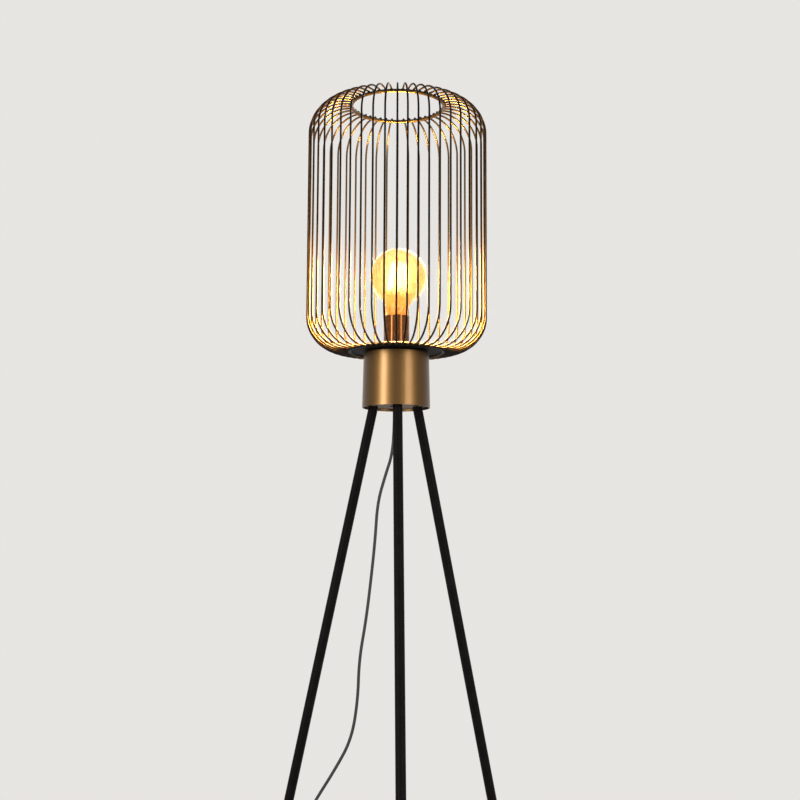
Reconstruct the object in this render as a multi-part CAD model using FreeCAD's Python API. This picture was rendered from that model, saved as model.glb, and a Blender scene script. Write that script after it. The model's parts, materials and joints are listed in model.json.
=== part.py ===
import FreeCAD, Part
import math
import os

# Wire cage floor lamp, in millimetres. +Z is up, the floor is Z = 0, and the
# lamp's axis is the Z axis. The front of the lamp faces -Y.
# An azimuth is in degrees, from the front towards +X.

V = FreeCAD.Vector
ORIGIN = V(0, 0, 0)
UP = V(0, 0, 1)

# ---- driving dimensions ------------------------------------------------------

# cage
CAGE_D = 302.0              # over the wires
WIRE_D = 3.2
WIRE_COUNT = 48
WIRES_PER_NODE = 8
RING_WIRE_D = 6.0
TOP_RING_R = 78.5           # centre line of the top ring
BOTTOM_RING_R = 78.5
RING_TOP_Z = 1494.5         # centre line heights of the two rings
RING_BOTTOM_Z = 1073.6
WIRE_BOTTOM_Z = 1072.1      # the wires' centre line where they run in to the bottom ring
BEND_TOP = 57.0             # bend radii of each wire
BEND_BOTTOM = 58.0
CROWD_SPAN = 58.0           # front right stretch where the wires sit a little early
CROWD_MOST = 2.8
WELD_DEPTH = 1.4            # how far a wire's end and the disc's edge sink into a ring
WELD_SINK = 0.5             # how far a wire that lies on the top ring sinks into it
WELD_LAP = 1.0              # how far such a wire reaches past the ring's centre line
DISC_Z = 1073.0             # underside of the base disc
DISC_T = 2.0

# hub
HUB_TOP_Z = 1069.4
HUB_BOTTOM_Z = 978.0
HUB_TOP_R = 54.3
HUB_BOTTOM_R = 56.4
HUB_WALL = 2.0
HUB_ROOF = 3.0
HUB_EDGE_R = 1.2
PLATE_T = 4.0
PLATE_RECESS = 3.6
SPACER_R = 50.5
PLATE_SCREW_R = 46.0        # pitch circle of the bottom plate's screws

# legs
LEG_D = 16.0
LEG_WALL = 1.2
LEG_RADIUS_AT_HUB = 43.3    # leg centre line at the hub's lower edge
LEG_SLOPE = 0.236           # outwards per unit of height
LEG_FRONT_AZ = 3.3
LEG_COUNT = 3
SOCKET_D = 20.0
SOCKET_LENGTH = 40.0
SOCKET_ROOF = 5.0
FOOT_D = 19.0
FOOT_HEIGHT = 26.0
FOOT_SOLE = 5.0

# centre tube and lampholder
NIPPLE_D = 10.0
NIPPLE_BORE = 7.0
NUT_ACROSS = 14.0
NUT_T = 4.0
SLEEVE_D = 43.0
SLEEVE_WALL = 0.9
SLEEVE_TOP_Z = 1131.5
HOLDER_GAP = 0.4

# bulb with a 27 mm screw cap
GLOBE_D = 95.0
GLOBE_Z = 1199.5
GLOBE_JOIN = 52.0           # the neck's flare meets the globe this far below its equator
GLASS_WALL = 0.9
NECK_R = 18.0
GLASS_FOOT_R = 11.8         # where the glass is cemented into the cap
CAP_D = 26.1
CAP_BOTTOM_Z = 1105.5
CAP_TOP_Z = 1129.0
THREAD_PITCH = 3.629
THREAD_DEPTH = 0.75
BULB_LEAN = 2.2             # the globe stands slightly off its cap, towards +X
FILAMENT_COUNT = 8

# cord
CORD_D = 5.0
CORD_EXIT = (-3.0, 9.0)     # in the bottom plate, just behind the axis
BUSHING_NECK_R = 4.8
BUSHING_FLANGE_R = 6.5
BUSHING_FLANGE_T = 2.0
RELIEF_LENGTH = 20.0
RELIEF_ROOT_R = 5.4         # where it leaves the switch or the plug
RELIEF_TIP_R = 3.6
LEAD_D = 1.6

# The cord's free route, from the hub down past the front leg to the floor and
# back under the lamp to the foot switch. The first and last points are where it
# meets a piece.
CORD_DROP = (
    (-3.0, 9.0, 979.6),
    (-3.0, 9.5, 940.0),
    (-6.5, 12.0, 900.0),
    (-17.0, 14.0, 868.0),
    (-30.0, 16.0, 822.0),
    (-33.5, 18.0, 760.0),
    (-40.0, 20.0, 695.0),
    (-47.5, 22.5, 630.0),
    (-58.5, 24.0, 565.0),
    (-60.0, 26.0, 500.0),
    (-70.0, 28.0, 437.0),
    (-97.0, 29.5, 388.0),
    (-127.0, 31.0, 341.0),
    (-157.0, 32.0, 288.0),
    (-178.0, 33.0, 228.0),
    (-188.0, 32.0, 166.0),
    (-194.0, 26.0, 106.0),
    (-204.0, 12.0, 58.0),
    (-218.0, -12.0, 24.0),
    (-228.0, -44.0, 6.0),
    (-229.0, -80.0, 2.6),
    (-214.0, -117.0, 2.8),
    (-179.0, -134.0, 7.0),
    (-142.0, -134.0, 7.0),
)
# From the switch to the coil, and from the coil's top layer down to the plug.
CORD_TO_COIL = (
    (-68.0, -134.0, 7.0),
    (-31.0, -134.0, 7.0),
    (6.0, -127.8, 2.8),
    (39.0, -127.8, 2.6),
)
CORD_TO_PLUG = (
    (75.2, -90.0, 9.0),
    (75.2, -68.0, 9.0),
    (76.0, -44.0, 3.8),
    (83.0, -14.0, 2.6),
    (116.0, 10.0, 7.0),
    (153.0, 10.0, 7.0),
)
# The spare length lies coiled: turns inwards on the floor, half a turn of climb,
# and turns outwards on top.
COIL_AT = (44.0, -95.0)
COIL_STEP = 6.4             # between turns, and between layers
COIL_IN_R = 20.0
COIL_TURNS_IN = 2.0
COIL_TURNS_OUT = 1.75
COIL_START = -90.0          # degrees from +X, turning to the left

# foot switch
SWITCH_LENGTH = 74.0
SWITCH_WIDTH = 44.0
SWITCH_CORNER_R = 14.0
SWITCH_SPLIT_Z = 10.0       # where the cover sits on the base
SWITCH_TOP_Z = 22.0
SWITCH_WALL = 2.0
BUTTON_D = 26.0
SWITCH_EDGE_R = 3.0
SWITCH_POST_X = 27.0        # screw posts, either side of the button
SWITCH_POST_R = 3.4
SWITCH_SCREW_R = 1.3
SWITCH_SCREW_Z = 1.6        # the recess of a screw's head in the base
SWITCH_SCREW_LENGTH = 14.0
BUTTON_RISE = 4.0           # above the cover when out, of which it travels 3
BUTTON_GAP = 0.3

# plug
PLUG_LENGTH = 35.0
PLUG_WIDTH = 35.0
PLUG_NECK_WIDTH = 14.0
PLUG_T = 14.0
PIN_D = 4.0
PIN_LENGTH = 19.0
PIN_SPACING = 18.6
PIN_ROOT = 8.0              # how deep a pin sits in the plug

# ---- places worked out from the driving dimensions ---------------------------

WIRE_R = WIRE_D / 2
CAGE_R = CAGE_D / 2 - WIRE_R
RING_WIRE_R = RING_WIRE_D / 2
WIRE_TOP_Z = RING_TOP_Z + RING_WIRE_R + WIRE_R - WELD_SINK
DISC_TOP_Z = DISC_Z + DISC_T
PLATE_Z = HUB_BOTTOM_Z + PLATE_RECESS
PLATE_TOP_Z = PLATE_Z + PLATE_T
ROOF_Z = HUB_TOP_Z - HUB_ROOF
LEG_R = LEG_D / 2
LEG_TILT = math.degrees(math.atan(LEG_SLOPE))
LEG_TOP_Z = PLATE_TOP_Z + SOCKET_LENGTH * math.cos(math.radians(LEG_TILT)) - SOCKET_ROOF
NIPPLE_R = NIPPLE_D / 2
SLEEVE_R = SLEEVE_D / 2


# ---- small builders ----------------------------------------------------------

def hub_radius(z):
    """Outer radius of the hub, which widens downwards."""
    share = (HUB_TOP_Z - z) / (HUB_TOP_Z - HUB_BOTTOM_Z)
    return HUB_TOP_R + share * (HUB_BOTTOM_R - HUB_TOP_R)


def spot(azimuth, radius, z):
    """A point at an azimuth, radius and height."""
    a = math.radians(azimuth)
    return V(radius * math.sin(a), -radius * math.cos(a), z)


def rod(radius, low, high, centre=(0.0, 0.0)):
    """An upright cylinder between two heights."""
    return Part.makeCylinder(radius, high - low, V(centre[0], centre[1], low), UP)


def tube(outer, inner, low, high, centre=(0.0, 0.0)):
    """An upright tube between two heights."""
    return rod(outer, low, high, centre).cut(rod(inner, low - 1, high + 1, centre))


def between(start, end, radius):
    """A cylinder from one point to another."""
    run = end.sub(start)
    return Part.makeCylinder(radius, run.Length, start, run)


def ring(radius, wire_radius, z):
    """A round wire bent to a flat ring."""
    return Part.makeTorus(radius, wire_radius, V(0, 0, z), UP)


def lathe(points):
    """A solid turned about the Z axis from (radius, z) corners."""
    corners = [V(r, 0, z) for r, z in points]
    face = Part.Face(Part.makePolygon(corners + [corners[0]]))
    return face.revolve(ORIGIN, UP, 360)


def lathe_face(edges):
    """A solid turned about the Z axis from profile edges in the XZ plane."""
    face = Part.Face(Part.Wire(edges))
    return face.revolve(ORIGIN, UP, 360)


def line(start, end):
    return Part.LineSegment(start, end).toShape()


def arc(start, middle, end):
    return Part.Arc(start, middle, end).toShape()


def hexagon(across, low, high, centre=(0.0, 0.0)):
    """An upright hexagonal bar, given across its flats."""
    corner_r = across / math.sqrt(3)
    corners = []
    for i in range(7):
        a = math.radians(60 * i)
        corners.append(V(centre[0] + corner_r * math.cos(a), centre[1] + corner_r * math.sin(a), low))
    return Part.Face(Part.makePolygon(corners)).extrude(V(0, 0, high - low))


def screw(head_d, head_h, shank_d, length, slot=1.2):
    """A slotted pan-head screw. Its head sits on Z = 0 and its shank points down."""
    head = rod(head_d / 2, 0, head_h)
    edge = [e for e in head.Edges if e.BoundBox.ZMin > head_h - 0.01]
    head = head.makeFillet(head_h * 0.3, edge)
    cutter = Part.makeBox(head_d * 2, slot, head_h, V(-head_d, -slot / 2, head_h * 0.55))
    return head.cut(cutter).fuse(rod(shank_d / 2, -length, 0)).removeSplitter()


def placed(shape, position, direction=UP, spin=0.0):
    """A copy of a shape with its Z axis along a direction and its origin moved."""
    turn = FreeCAD.Rotation(UP, direction).multiply(FreeCAD.Rotation(UP, spin))
    copy = shape.copy()
    copy.Placement = FreeCAD.Placement(position, turn).multiply(copy.Placement)
    return copy


def turned(shape, angle):
    """A copy turned about the lamp's axis."""
    copy = shape.copy()
    copy.rotate(ORIGIN, UP, angle)
    return copy


def round_wire(path, radius, start, direction):
    """A round solid swept along a wire of lines and arcs."""
    section = Part.Wire(Part.makeCircle(radius, start, direction))
    return path.makePipeShell([section], True, False)


# ---- cage --------------------------------------------------------------------

def wire_azimuths():
    """Where the wires stand: evenly, but a little early in the front right."""
    spots = []
    for i in range(WIRE_COUNT):
        azimuth = 360.0 * i / WIRE_COUNT
        early = 0.0
        if azimuth < CROWD_SPAN:
            early = CROWD_MOST * math.sin(math.pi * azimuth / CROWD_SPAN)
        spots.append(azimuth - early)
    return spots


def cage_wire():
    """One wire at azimuth 0: it lies on the top ring and butts against the bottom one."""
    top_in = TOP_RING_R - WELD_LAP
    bottom_in = BOTTOM_RING_R + RING_WIRE_R - WELD_DEPTH
    diagonal = math.sqrt(0.5)

    def p(radius, z):
        return V(0, -radius, z)

    top_bend = p(CAGE_R - BEND_TOP, WIRE_TOP_Z)
    top_mid = p(CAGE_R - BEND_TOP * (1 - diagonal), WIRE_TOP_Z - BEND_TOP * (1 - diagonal))
    side_top = p(CAGE_R, WIRE_TOP_Z - BEND_TOP)
    side_bottom = p(CAGE_R, WIRE_BOTTOM_Z + BEND_BOTTOM)
    low_mid = p(CAGE_R - BEND_BOTTOM * (1 - diagonal), WIRE_BOTTOM_Z + BEND_BOTTOM * (1 - diagonal))
    low_bend = p(CAGE_R - BEND_BOTTOM, WIRE_BOTTOM_Z)
    start = p(top_in, WIRE_TOP_Z)
    path = Part.Wire([
        line(start, top_bend),
        arc(top_bend, top_mid, side_top),
        line(side_top, side_bottom),
        arc(side_bottom, low_mid, low_bend),
        line(low_bend, p(bottom_in, WIRE_BOTTOM_Z)),
    ])
    return round_wire(path, WIRE_R, start, V(0, -1, 0))


def cage_parts():
    parts = {}
    parts["top_ring"] = ring(TOP_RING_R, RING_WIRE_R, RING_TOP_Z)
    parts["bottom_ring"] = ring(BOTTOM_RING_R, RING_WIRE_R, RING_BOTTOM_Z)
    disc_r = BOTTOM_RING_R - RING_WIRE_R + WELD_DEPTH
    parts["base_disc"] = tube(disc_r, NIPPLE_R + 0.1, DISC_Z, DISC_TOP_Z)
    wire = cage_wire()
    azimuths = wire_azimuths()
    for group in range(WIRE_COUNT // WIRES_PER_NODE):
        first = group * WIRES_PER_NODE
        chosen = azimuths[first:first + WIRES_PER_NODE]
        wires = [turned(wire, azimuth) for azimuth in chosen]
        parts[f"cage_wires_{group + 1}"] = Part.makeCompound(wires)
    return parts


# ---- hub ---------------------------------------------------------------------

def hub_parts():
    parts = {}
    cup = lathe([
        (NIPPLE_R + 0.1, HUB_TOP_Z),
        (HUB_TOP_R, HUB_TOP_Z),
        (HUB_BOTTOM_R, HUB_BOTTOM_Z),
        (HUB_BOTTOM_R - HUB_WALL, HUB_BOTTOM_Z),
        (hub_radius(ROOF_Z) - HUB_WALL, ROOF_Z),
        (NIPPLE_R + 0.1, ROOF_Z),
    ])
    rim = [e for e in cup.Edges if e.BoundBox.ZMin > HUB_TOP_Z - 0.01 and e.BoundBox.XMax > HUB_TOP_R - 0.1]
    parts["hub_cup"] = cup.makeFillet(HUB_EDGE_R, rim)
    parts["spacer_disc"] = tube(SPACER_R, NIPPLE_R + 0.1, HUB_TOP_Z, DISC_Z)

    bracket_low = PLATE_TOP_Z
    bracket_high = PLATE_TOP_Z + 5
    bracket = lathe([
        (PLATE_SCREW_R - 4, bracket_low),
        (hub_radius(bracket_low) - HUB_WALL, bracket_low),
        (hub_radius(bracket_high) - HUB_WALL, bracket_high),
        (PLATE_SCREW_R - 4, bracket_high),
    ])
    plate = lathe([
        (0, PLATE_Z),
        (hub_radius(PLATE_Z) - HUB_WALL, PLATE_Z),
        (hub_radius(PLATE_TOP_Z) - HUB_WALL, PLATE_TOP_Z),
        (0, PLATE_TOP_Z),
    ])
    screws = []
    for k in range(LEG_COUNT):
        azimuth = LEG_FRONT_AZ + 60 + 120 * k
        at = spot(azimuth, PLATE_SCREW_R, PLATE_Z)
        hole = rod(2.0, PLATE_Z - 1, bracket_high + 1, (at.x, at.y))
        plate = plate.cut(hole)
        bracket = bracket.cut(hole)
        screws.append(placed(screw(7.0, 2.2, 4.0, 9.0), at, V(0, 0, -1)))
    for k in range(LEG_COUNT):
        low, high = leg_line(k, PLATE_Z - 4), leg_line(k, PLATE_TOP_Z + 4)
        plate = plate.cut(between(low, high, LEG_R + 0.2))
        bracket = bracket.cut(between(leg_line(k, PLATE_Z), leg_line(k, ROOF_Z), SOCKET_D / 2 + 0.3))
    plate = plate.cut(rod(BUSHING_NECK_R, PLATE_Z - 1, PLATE_TOP_Z + 1, CORD_EXIT))
    parts["hub_bottom_plate"] = plate
    parts["hub_bracket_ring"] = bracket
    parts["plate_screws"] = Part.makeCompound(screws)
    return parts


# ---- legs --------------------------------------------------------------------

def leg_azimuth(k):
    return LEG_FRONT_AZ + 120 * k


def leg_line(k, z):
    """The point of leg k's centre line at a height."""
    return spot(leg_azimuth(k), LEG_RADIUS_AT_HUB + LEG_SLOPE * (HUB_BOTTOM_Z - z), z)


def leg_parts():
    """Each leg: tube, threaded insert, bolt, socket and foot cap."""
    parts = {}
    inserts, bolts = [], []
    for k, side in enumerate(("front", "right", "left")):
        top, low = leg_line(k, LEG_TOP_Z), leg_line(k, FOOT_SOLE)
        down = low.sub(top).normalize()
        up = down.negative()
        body = between(top, low, LEG_R).cut(between(top.sub(down), low.add(down), LEG_R - LEG_WALL))
        parts[f"leg_tube_{side}"] = body
        insert_end = top.add(down * 18)
        insert = between(top, insert_end, LEG_R - LEG_WALL)
        inserts.append(insert.cut(between(top.sub(down), insert_end.add(down), 4.0)))

        socket_top = top.add(up * SOCKET_ROOF)
        socket = between(leg_line(k, PLATE_TOP_Z - 6), socket_top, SOCKET_D / 2)
        socket = socket.cut(between(leg_line(k, PLATE_TOP_Z - 9), top, LEG_R))
        socket = socket.cut(between(top.sub(up), socket_top.add(up), 4.2))
        floor = Part.makeBox(200, 200, 60, V(-100, -100, PLATE_TOP_Z - 60))
        parts[f"leg_socket_{side}"] = socket.cut(floor)

        bolt = hexagon(13, 0, 5.3).fuse(rod(4.0, -18, 0)).removeSplitter()
        bolts.append(placed(bolt, socket_top, up))

        foot = between(leg_line(k, FOOT_HEIGHT), leg_line(k, -8), FOOT_D / 2)
        rounded = [e for e in foot.Edges if e.BoundBox.ZMin > FOOT_HEIGHT - 4 and len(e.Vertexes) == 1]
        foot = foot.makeFillet(1.0, rounded)
        foot = foot.cut(between(low, leg_line(k, FOOT_HEIGHT + 8), LEG_R))
        foot = foot.cut(Part.makeBox(2000, 2000, 50, V(-1000, -1000, -50)))
        parts[f"foot_cap_{side}"] = foot
    parts["leg_inserts"] = Part.makeCompound(inserts)
    parts["leg_bolts"] = Part.makeCompound(bolts)
    return parts


# ---- centre tube, nuts and lampholder ----------------------------------------

HOLDER_LOW = DISC_TOP_Z + SLEEVE_WALL
INSULATOR_R = SLEEVE_R - SLEEVE_WALL - 0.3
INSULATOR_TOP = SLEEVE_TOP_Z - 3.0
NIPPLE_TOP = HOLDER_LOW + 8.0
NIPPLE_LOW = ROOF_Z - 14.0
SHELL_IN_R = CAP_D / 2 + HOLDER_GAP
SHELL_WALL = 0.5
SHELL_LOW = CAP_BOTTOM_Z - 2.5
DECK_Z = SHELL_LOW - 5.0
CONTACT_TOP = CAP_BOTTOM_Z - 0.9
TERMINAL_X = 9.0


def centre_parts():
    parts = {}
    parts["nipple"] = tube(NIPPLE_R, NIPPLE_BORE / 2, NIPPLE_LOW, NIPPLE_TOP)
    washer = tube(9.0, NIPPLE_R + 0.1, ROOF_Z - 1.2, ROOF_Z)
    notch = Part.makeBox(2.2, 1.4, 3.0, V(7.4, -0.7, ROOF_Z - 2))
    for i in range(8):
        washer = washer.cut(turned(notch, 45 * i))
    parts["lock_washer"] = washer
    nut_top = ROOF_Z - 1.2
    nut = hexagon(NUT_ACROSS, nut_top - NUT_T, nut_top)
    parts["nipple_nut_lower"] = nut.cut(rod(NIPPLE_R, nut_top - NUT_T - 1, nut_top + 1))
    upper = hexagon(NUT_ACROSS, HOLDER_LOW, HOLDER_LOW + NUT_T)
    parts["nipple_nut_upper"] = upper.cut(rod(NIPPLE_R, HOLDER_LOW - 1, HOLDER_LOW + NUT_T + 1))
    return parts


def holder_parts():
    parts = {}
    sleeve = lathe([
        (NIPPLE_R + 0.1, DISC_TOP_Z),
        (SLEEVE_R, DISC_TOP_Z),
        (SLEEVE_R, SLEEVE_TOP_Z),
        (SLEEVE_R - SLEEVE_WALL, SLEEVE_TOP_Z),
        (SLEEVE_R - SLEEVE_WALL, HOLDER_LOW),
        (NIPPLE_R + 0.1, HOLDER_LOW),
    ])
    parts["holder_sleeve"] = sleeve

    shell_out = SHELL_IN_R + SHELL_WALL
    insulator = tube(INSULATOR_R, INSULATOR_R - 2.2, HOLDER_LOW, INSULATOR_TOP)
    deck = tube(INSULATOR_R, 1.6, DECK_Z, SHELL_LOW)
    liner = tube(shell_out + 1.8, shell_out, SHELL_LOW, INSULATOR_TOP)
    rim = tube(INSULATOR_R, shell_out, INSULATOR_TOP - 2, INSULATOR_TOP)
    insulator = insulator.fuse([deck, liner, rim]).removeSplitter()
    screws = []
    for side in (-1, 1):
        at = V(side * TERMINAL_X, 0, DECK_Z)
        insulator = insulator.cut(rod(1.5, DECK_Z - 4, SHELL_LOW + 1, (at.x, at.y)))
        screws.append(placed(screw(5.5, 2.0, 3.0, 4.4), at, V(0, 0, -1)))
    parts["holder_insulator"] = insulator
    parts["terminal_screws"] = Part.makeCompound(screws)

    parts["holder_shell"] = tube(shell_out, SHELL_IN_R, SHELL_LOW, INSULATOR_TOP)
    stem = rod(1.6, DECK_Z - 2, CONTACT_TOP - 0.8)
    pad = rod(4.0, CONTACT_TOP - 0.8, CONTACT_TOP)
    parts["holder_centre_contact"] = stem.fuse(pad).removeSplitter()
    return parts


# ---- bulb --------------------------------------------------------------------

def leaned(shape):
    """The glass and what hangs in it, tipped about the top of the cap."""
    copy = shape.copy()
    copy.rotate(V(0, 0, CAP_TOP_Z), V(0, 1, 0), BULB_LEAN)
    return copy


def globe_solid(inset):
    """The space inside the glass's outline, drawn in by an inset."""
    join = math.radians(GLOBE_JOIN)
    globe_r = GLOBE_D / 2 - inset
    neck_r = NECK_R - inset
    foot_r = GLASS_FOOT_R - inset
    crown = V(0, 0, GLOBE_Z + globe_r)
    upper = V(globe_r * math.sin(join), 0, GLOBE_Z + globe_r * math.cos(join))
    across = V(globe_r, 0, GLOBE_Z)
    lower = V(globe_r * math.cos(join / 2), 0, GLOBE_Z - globe_r * math.sin(join / 2))
    meet = V(globe_r * math.cos(join), 0, GLOBE_Z - globe_r * math.sin(join))
    flare_r = (meet.x - neck_r) / (1 - math.cos(join))
    neck_high = V(neck_r, 0, meet.z - flare_r * math.sin(join))
    flare = V(neck_r + flare_r * (1 - math.cos(join / 2)), 0, neck_high.z + flare_r * math.sin(join / 2))
    neck_low = V(neck_r, 0, CAP_TOP_Z + 6.0)
    collar = V(foot_r, 0, CAP_TOP_Z + 0.5)
    foot = V(foot_r, 0, CAP_TOP_Z - 7.0 - inset)
    bottom = V(0, 0, foot.z)
    return lathe_face([
        line(bottom, foot),
        line(foot, collar),
        line(collar, neck_low),
        line(neck_low, neck_high),
        arc(neck_high, flare, meet),
        arc(meet, lower, across),
        arc(across, upper, crown),
        line(crown, bottom),
    ])


def bulb_cap():
    """The screw cap: a thin shell rolled in waves of the thread's pitch."""
    crest = CAP_D / 2
    root = crest - THREAD_DEPTH
    wall = 0.35
    outer = []
    z = CAP_BOTTOM_Z + 4.5
    while z + THREAD_PITCH < CAP_TOP_Z - 4:
        outer += [(root, z), (crest, z + THREAD_PITCH / 2)]
        z += THREAD_PITCH
    outer += [(root, z), (root, CAP_TOP_Z - 3), (root + 0.9, CAP_TOP_Z)]
    inner = [(r - wall, h) for r, h in reversed(outer)]
    shoulder = [(6.4, CAP_BOTTOM_Z + 2.2 + wall), (6.4, CAP_BOTTOM_Z + 2.2)]
    return lathe(outer + inner + shoulder)


def bulb_parts():
    parts = {}
    parts["bulb_glass"] = leaned(globe_solid(0).cut(globe_solid(GLASS_WALL)))
    parts["bulb_cap"] = bulb_cap()
    parts["bulb_cap_insulator"] = lathe([
        (3.4, CAP_BOTTOM_Z + 0.6),
        (6.4, CAP_BOTTOM_Z + 2.2),
        (6.4, CAP_BOTTOM_Z + 3.4),
        (3.4, CAP_BOTTOM_Z + 3.4),
    ])
    parts["bulb_eyelet"] = lathe([
        (0, CAP_BOTTOM_Z - 0.6),
        (2.0, CAP_BOTTOM_Z - 0.3),
        (3.1, CAP_BOTTOM_Z + 0.5),
        (3.1, CAP_BOTTOM_Z + 2.6),
        (0, CAP_BOTTOM_Z + 2.6),
    ])

    flare_z = CAP_TOP_Z - 6
    stem_top = GLOBE_Z + 22
    stem = Part.makeCone(GLASS_FOOT_R - GLASS_WALL, 5.0, 9, V(0, 0, flare_z), UP).fuse([
        Part.makeCone(5.0, 2.0, 16, V(0, 0, flare_z + 9), UP),
        rod(2.0, flare_z + 25, stem_top),
        Part.makeSphere(2.8, V(0, 0, stem_top)),
    ])
    parts["bulb_stem"] = leaned(stem.removeSplitter())
    low_z = GLOBE_Z - 24
    high_z = GLOBE_Z + 24
    supports, filaments = [], []
    for i in range(FILAMENT_COUNT):
        azimuth = 360.0 * i / FILAMENT_COUNT + 11
        low, high = spot(azimuth, 17.0, low_z), spot(azimuth, 11.0, high_z)
        supports.append(between(spot(azimuth, 1.0, low_z - 4), low, 0.35))
        supports.append(between(spot(azimuth, 1.0, high_z - 2), high, 0.35))
        filaments.append(leaned(between(low, high, 0.75)))
    hook = rod(2.6, low_z - 6, low_z - 2).fuse(rod(2.6, high_z - 4, high_z - 1))
    clear = rod(2.0, low_z - 9, stem_top).fuse(Part.makeSphere(2.8, V(0, 0, stem_top)))
    parts["filament_supports"] = leaned(hook.fuse(supports).cut(clear))
    parts["filaments"] = Part.makeCompound(filaments)
    return parts


# ---- wiring in the hub -------------------------------------------------------

BLOCK_LOW = 1008.0
BLOCK_HIGH = 1024.0
LEAD_R = LEAD_D / 2
CORD_R = CORD_D / 2
FLANGE_Z = PLATE_Z - BUSHING_FLANGE_T


def rounded_path(points, name=None):
    """Straight runs joined by tangent arcs, each as large as its two runs allow."""
    corners = [V(*p) for p in points]
    edges, radii = [], []
    here = corners[0]
    for before, corner, after in zip(corners, corners[1:], corners[2:]):
        back = before.sub(corner)
        ahead = after.sub(corner)
        turn = math.pi - back.getAngle(ahead)
        reach = 0.45 * min(back.Length, ahead.Length)
        radius = reach / math.tan(turn / 2)
        radii.append(radius)
        back.normalize()
        ahead.normalize()
        start = corner.add(back * reach)
        end = corner.add(ahead * reach)
        inward = back.add(ahead).normalize()
        depth = radius / math.cos(turn / 2) - radius
        edges.append(line(here, start))
        edges.append(arc(start, corner.add(inward * depth), end))
        here = end
    edges.append(line(here, corners[-1]))
    path = Part.Wire(edges)
    if name:
        print(f"{name}: {path.Length:.0f} mm long, arc radii", [round(r) for r in radii])
    return path


def free_tube(points, radius, name=None):
    """A round tube along a route, with its volume checked against its length."""
    path = rounded_path(points, name)
    start = V(*points[0])
    solid = round_wire(path, radius, start, V(*points[1]).sub(start))
    expected = math.pi * radius ** 2 * path.Length
    if name:
        print(f"{name}: volume {solid.Volume:.0f}, section times length {expected:.0f}")
    return solid


def wiring_parts():
    parts = {}
    x, y = CORD_EXIT
    bushing = tube(BUSHING_NECK_R, CORD_R, PLATE_Z, PLATE_TOP_Z, CORD_EXIT)
    flange = tube(BUSHING_FLANGE_R, CORD_R, FLANGE_Z, PLATE_Z, CORD_EXIT)
    lip = tube(BUSHING_NECK_R + 0.8, CORD_R, PLATE_TOP_Z, PLATE_TOP_Z + 1.6, CORD_EXIT)
    parts["cord_bushing"] = bushing.fuse([flange, lip]).removeSplitter()
    parts["cord_inside_hub"] = rod(CORD_R, FLANGE_Z, BLOCK_LOW, CORD_EXIT)

    block = Part.makeBox(22, 14, BLOCK_HIGH - BLOCK_LOW, V(x - 11, y - 7, BLOCK_LOW))
    upright = [e for e in block.Edges if abs(e.BoundBox.ZLength - (BLOCK_HIGH - BLOCK_LOW)) < 0.01]
    block = block.makeFillet(2.0, upright)
    for side in (-1, 1):
        bore = Part.makeCylinder(2.2, 6, V(x + side * 5.5, y - 8, (BLOCK_LOW + BLOCK_HIGH) / 2), V(0, 1, 0))
        block = block.cut(bore)
    parts["terminal_block"] = block

    leads = []
    head_z = DECK_Z - 2.0
    for side in (-1, 1):
        inside_x = side * 1.5
        leads.append(free_tube([
            (x + side * 3.0, y, BLOCK_HIGH),
            (x + side * 3.0, y, BLOCK_HIGH + 10),
            (inside_x, 0, NIPPLE_LOW - 6),
            (inside_x, 0, NIPPLE_TOP),
            (side * TERMINAL_X, 0, head_z - 5),
            (side * TERMINAL_X, 0, head_z),
        ], LEAD_R))
    parts["inner_leads"] = Part.makeCompound(leads)
    return parts


# ---- cord, foot switch and plug ----------------------------------------------

COIL_TURNS = COIL_TURNS_IN + 0.5 + COIL_TURNS_OUT
COIL_Z = CORD_TO_COIL[-1][2]


def coil_point(turn):
    """The coil's centre line after a number of turns."""
    inwards = max(COIL_TURNS_IN - turn, 0)
    outwards = max(turn - COIL_TURNS_IN - 0.5, 0)
    climbed = min(max(turn - COIL_TURNS_IN, 0) / 0.5, 1)
    radius = COIL_IN_R + COIL_STEP * (inwards + outwards)
    height = COIL_Z + COIL_STEP * (1 - math.cos(math.pi * climbed)) / 2
    a = math.radians(COIL_START) + 2 * math.pi * turn
    return V(COIL_AT[0] + radius * math.cos(a), COIL_AT[1] + radius * math.sin(a), height)


def coil_direction(turn):
    """Which way the coil runs there. It starts and ends level and straight."""
    if turn <= 0 or turn >= COIL_TURNS:
        a = math.radians(COIL_START + 90) + 2 * math.pi * turn
        return V(math.cos(a), math.sin(a), 0)
    step = 0.02
    return coil_point(turn + step).sub(coil_point(turn - step)).normalize()


def arc_middle(start, direction, end):
    """The middle point of the arc that leaves start in a direction and reaches end."""
    chord = end.sub(start)
    along = V(chord).normalize()
    outward = direction.sub(along * direction.dot(along)).normalize()
    rise = chord.Length / 2 * math.tan(direction.getAngle(chord) / 2)
    return start.add(end).multiply(0.5).add(outward * rise)


def biarc(start, start_way, end, end_way):
    """Two tangent arcs between two points with given directions."""
    chord = end.sub(start)
    ways = start_way.add(end_way)
    spare = 2 * (1 - start_way.dot(end_way))
    dot = chord.dot(ways)
    reach = (math.sqrt(dot * dot + spare * chord.dot(chord)) - dot) / spare
    joint = start.add(end).add(start_way.sub(end_way) * reach).multiply(0.5)
    return [
        arc(start, arc_middle(start, start_way, joint), joint),
        arc(joint, arc_middle(end, end_way.negative(), joint), end),
    ]


def least_gap(wire, diameter):
    """The smallest clear distance of a round tube to itself, more than three diameters apart."""
    points = wire.discretize(Distance=1.0)
    apart = int(3 * diameter)
    least = min(
        points[i].distanceToPoint(points[j])
        for i in range(len(points))
        for j in range(i + apart, len(points))
    )
    return least - diameter


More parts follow.
